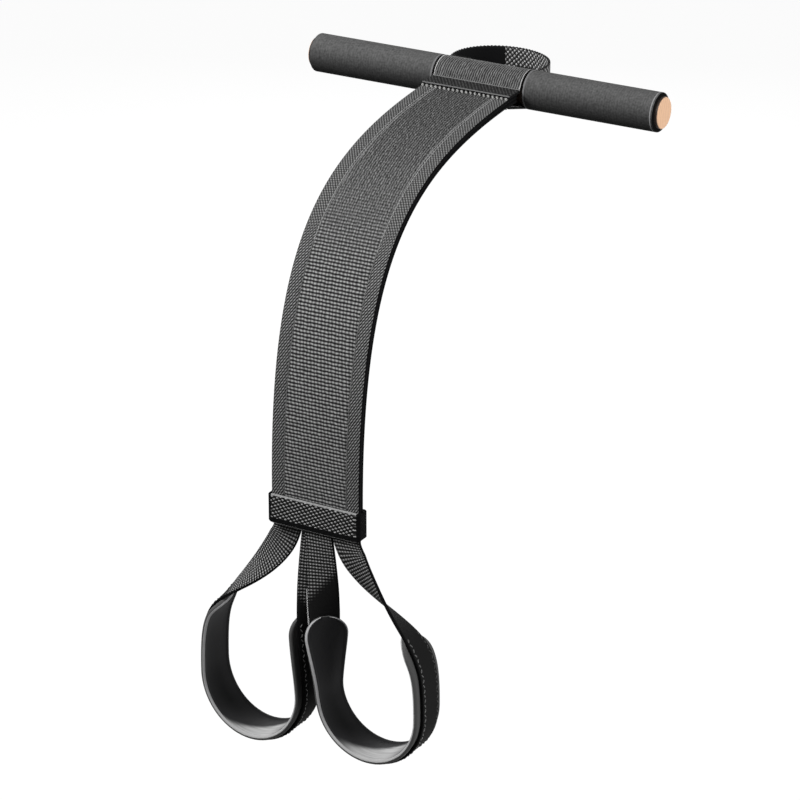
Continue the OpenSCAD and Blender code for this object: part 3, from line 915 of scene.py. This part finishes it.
class TRAINER_OT_strap(bpy.types.Operator):
    """Weaves the wide two-ply strap and sews its two edge rows."""

    bl_idname = "trainer.strap"
    bl_label = "Wide strap"

    def execute(self, context):
        scene, strap = context.scene, context.scene.strap
        rib = scene.webbing.rib
        # Four stations to each rib, spaced in millimetres.
        stations = strap_stations(rib * 250)
        row = strap.width / 2 - strap.border
        profile = webbing_profile(strap.width, strap.thickness, 0.0009, [(row, 0.0005, 0.0008)], plies=2)

        def ribs(i, a, h):
            if abs(h) > strap.thickness / 2 - 0.0002:
                inside = smooth((row - abs(a)) / 0.001)
                h += math.copysign(0.00022, h) * inside * math.cos(2 * math.pi * stations[i][3] / rib)
            return a, h

        piece = sweep("strap_webbing", stations, profile, ribs)
        plies = [f"{where}_{face}_ply" for where in ("upper", "lower") for face in ("front", "back")]
        finish_with(piece, ribbed_webbing(scene), "webbing", *plies)
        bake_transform(piece)

        spots = {"pale": [], "slate": []}
        # The darker rows begin this far along the strap, and the rows end at the band.
        slate_from, band_top = 0.22, -0.2655
        wanted = stations[2][3] + 0.003
        for one, two in zip(stations[2:], stations[3:]):
            while one[3] <= wanted < two[3]:
                t = (wanted - one[3]) / (two[3] - one[3])
                middle, out = one[0].lerp(two[0], t), one[2].lerp(two[2], t).normalized()
                if middle[2] > band_top:
                    group = spots["pale" if wanted < slate_from else "slate"]
                    for s in (-1, 1):
                        place = middle + Vector((s * row, 0, 0)) + out * (strap.thickness / 2 - 0.0002)
                        group.append((place, two[0] - one[0], out))
                wanted += strap.stitch
        # The lower rows lie deep between the ribs and are of a darker thread.
        for name, code, where in (("pale", "#b4b4b4", "upper"), ("slate", "#7c7c7c", "lower")):
            rows = beads(f"strap_stitch_rows_{name}", spots[name], 0.0038, 0.0009)
            finish_with(rows, nylon_thread(name, linear(code)), "thread", f"{where}_edge_stitching")
            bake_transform(rows)
        return {"FINISHED"}


class TRAINER_OT_band(bpy.types.Operator):
    """Wraps the band round the strap's lower end."""

    bl_idname = "trainer.band"
    bl_label = "Band"

    def execute(self, context):
        scene = context.scene
        half_x, half_y, turn, tall = 40.6, 5.0, 1.2, 24.5
        path = []
        flats = ((1, -1, 0), (1, 1, 90), (-1, 1, 180), (-1, -1, 270))
        for sx, sy, start in flats:
            for i in range(6):
                a = math.radians(start - 90 + 18 * i)
                out = Vector((math.cos(a), math.sin(a), 0))
                path.append((Vector((sx * (half_x - turn), sy * (half_y - turn), 0)) + turn * out, out))
        raw = []
        for i, (p, out) in enumerate(path):
            q, next_out = path[(i + 1) % len(path)]
            pieces = max(1, round((q - p).length / 3))
            for k in range(pieces):
                t = k / pieces
                place = p.lerp(q, t) + Vector((0, STRAP_MIDDLE, BAND_BOTTOM + tall / 2))
                raw.append((place * MM, UP, out.lerp(next_out, t).normalized()))
        stations = with_runs(raw)

        corner, corner_from = 4.0, 37.4

        def lower_corner(i, a, h):
            over = min(corner, max(0.0, abs(stations[i][0][0]) / MM - corner_from))
            rise = (corner - math.sqrt(corner * corner - over * over)) * MM
            return a + rise * (0.5 - a / (tall * MM)), h

        profile = webbing_profile(tall * MM, 0.0024, 0.0007)
        band = sweep("band_webbing", stations, profile, lower_corner, ring=True)
        finish_with(band, diamond_webbing(scene), "band_webbing", "band")
        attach(band, "lower_strap")

        spots = []
        for x in (-6, 6):
            for i in range(6):
                place = Vector((x, STRAP_MIDDLE + 6.2, BAND_BOTTOM + 3.5 + 3.5 * i))
                spots.append((place * MM, UP, BACK))
        rows = beads("band_stitch_rows", spots, 0.0028, 0.0009)
        finish_with(rows, nylon_thread("twisted", scene.webbing.thread, 0.45), "thread", "band_seam")
        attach(rows, "lower_strap")
        return {"FINISHED"}


class TRAINER_OT_loops(bpy.types.Operator):
    """Makes both hand loops: twisted webbing, lined pad and stitch rows."""

    bl_idname = "trainer.loops"
    bl_label = "Hand loops"

    def execute(self, context):
        scene, loops = context.scene, context.scene.loops
        lining = pad_lining(scene)
        tones = {"grey": "#767676", "charcoal": "#202020", "ash": "#d0d0d0"}
        threads = [nylon_thread(tone, linear(code)) for tone, code in tones.items()]
        for name, side in SIDES.items():
            self.webbing(name, side, loops, grid_webbing(scene, name))
            self.pad(name, side, loops, lining)
            self.stitches(name, side, loops, threads)
        return {"FINISHED"}

    def webbing(self, name, side, loops, material):
        """One leg down, round and up again, with both ends tucked into the band."""
        places = [4.0 * i / 260 for i in range(261)]
        raw = [loop_station(u, side) for u in places]
        tuck = Vector((0, 0, 9 * MM))
        first, last = ((middle + tuck, across, out) for middle, across, out in (raw[0], raw[-1]))
        raw = [first, *raw, last]
        profile = webbing_profile(loops.width, loops.thickness, 0.0008)
        piece = sweep(f"{name}_loop_webbing", with_runs(raw, True), profile)
        finish_with(piece, material, "webbing", f"{name}_loop_strap", f"{name}_loop_ends")
        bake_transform(piece)

    def pad(self, name, side, loops, material):
        """The lining that follows the webbing: rounded ends, a rolled rim and a shallow channel inside it."""
        steps = 150
        first, last = PAD_ENDS
        places = []
        for i in range(steps + 1):
            k = i / steps
            places.append(first + (last - first) * (k - 0.13 * math.sin(2 * math.pi * k)))
        raw = [loop_station(u, side) for u in places]
        rise = (loops.thickness + loops.pad_thickness) / 2 + 0.0002
        raw = [(m + out * rise, across, out) for m, across, out in raw]
        stations = with_runs(raw, True)
        start, end = stations[0][3], stations[-1][3]
        half = loops.pad_width / 2
        # The section's right half, in half widths and half thicknesses: from the channel over the rolled
        # rim to the edge, and under the rim to the flat back.
        above = [(0.4, 0.46), (0.74, 0.42), (0.79, 0.5), (0.83, 0.9), (0.885, 1.05), (0.945, 0.85)]
        above += [(0.985, 0.45), (1.0, 0.0)]
        below = [(0.985, -0.75), (0.945, -1.2), (0.885, -1.4), (0.80, -1.2), (0.70, -1.0)]
        outline = [(-a, h, True) for a, h in reversed(above)] + [(0.0, 0.48, True)]
        outline += [(a, h, True) for a, h in above] + [(a, h, False) for a, h in below]
        outline += [(0.0, -1.0, False)] + [(-a, h, False) for a, h in reversed(below)]
        profile = [(a * half, h * loops.pad_thickness / 2, face) for a, h, face in outline]

        def round_ends(i, a, h):
            run = min(stations[i][3] - start, end - stations[i][3])
            x = 1 - min(run, half) / half
            wide = max(0.2, math.sqrt(max(0.0, 1 - x * x)))
            thin = min(1.0, 0.45 + 0.55 * math.sqrt(min(1.0, run / 0.003)))
            return a * wide, h * thin

        piece = sweep(f"{name}_loop_lining", stations, profile, round_ends)
        finish_with(piece, material, "pad_liner", f"{name}_loop_pad")
        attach(piece, f"{name}_loop")

    def stitches(self, name, side, loops, threads):
        """Two zigzag rows along the webbing's outer face, and a whipped row up the inner leg's edge."""
        first, last = PAD_ENDS
        rows, steps, spacing = ([], []), 1600, 0.0042
        wanted, run, before = 0.004, 0.0, None
        for i in range(steps + 1):
            station = loop_station(first + 0.03 + (last - first - 0.06) * i / steps, side)
            if before:
                run += (station[0] - before[0]).length
                if run >= wanted:
                    wanted += spacing
                    for spots, s in zip(rows, (-side, side)):
                        place = (
                            station[0]
                            + s * station[1] * (loops.width / 2 - 0.003)
                            - station[2] * (loops.thickness / 2 - 0.0001)
                        )
                        lean = 0.6 * s * (-1) ** len(spots) * station[1]
                        spots.append((place, (station[0] - before[0]).normalized() + lean, -station[2]))
            before = station
        whipped = []
        for i in range(18):
            middle, across, out = loop_station(last - 0.06 + 0.2 * i / 18, side)
            edge = middle - across * (loops.width / 2 + 0.0001)
            whipped.append((edge, UP + 0.3 * out, -across))
        edge = beads(f"{name}_loop_whipped_edge", whipped, 0.0034, 0.0012)
        finish_with(edge, threads[2], "thread")
        front, rear = (
            beads(f"{name}_loop_stitches_{where}", spots, 0.0033, 0.0010)
            for where, spots in zip(("front", "rear"), rows)
        )
        finish_with(front, threads[0], "thread", f"{name}_loop_stitching")
        finish_with(rear, threads[1], "thread")
        for piece in (front, rear, edge):
            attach(piece, f"{name}_loop")


class TRAINER_PT_panel(bpy.types.Panel):
    """Lists the settings and the steps in the 3D view's sidebar."""

    bl_idname = "TRAINER_PT_panel"
    bl_label = "Strap Trainer"
    bl_space_type = "VIEW_3D"
    bl_region_type = "UI"
    bl_category = "Strap Trainer"

    def draw(self, context):
        for name in SETTINGS:
            group, box = getattr(context.scene, name), self.layout.box()
            for key in group.bl_rna.properties.keys():
                if key not in {"rna_type", "name"}:
                    box.prop(group, key)
        for operator in OPERATORS:
            self.layout.operator(operator.bl_idname)


SETTINGS = {
    "bar": BarSettings,
    "webbing": WebbingSettings,
    "strap": StrapSettings,
    "loops": LoopSettings,
    "stage": StageSettings,
}
OPERATORS = (
    TRAINER_OT_stage,
    TRAINER_OT_bar,
    TRAINER_OT_sleeve,
    TRAINER_OT_rear_loop,
    TRAINER_OT_strap,
    TRAINER_OT_band,
    TRAINER_OT_loops,
)
CLASSES = (*SETTINGS.values(), *OPERATORS, TRAINER_PT_panel)


def register():
    for kind in CLASSES:
        bpy.utils.register_class(kind)
    for name, kind in SETTINGS.items():
        setattr(bpy.types.Scene, name, PointerProperty(type=kind))


def unregister():
    for name in SETTINGS:
        delattr(bpy.types.Scene, name)
    for kind in reversed(CLASSES):
        bpy.utils.unregister_class(kind)


def main():
    register()
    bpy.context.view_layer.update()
    bpy.ops.trainer.stage()
    bpy.ops.trainer.bar()
    bpy.ops.trainer.sleeve()
    bpy.ops.trainer.rear_loop()
    bpy.ops.trainer.strap()
    bpy.ops.trainer.band()
    bpy.ops.trainer.loops()


if __name__ == "__main__":
    main()
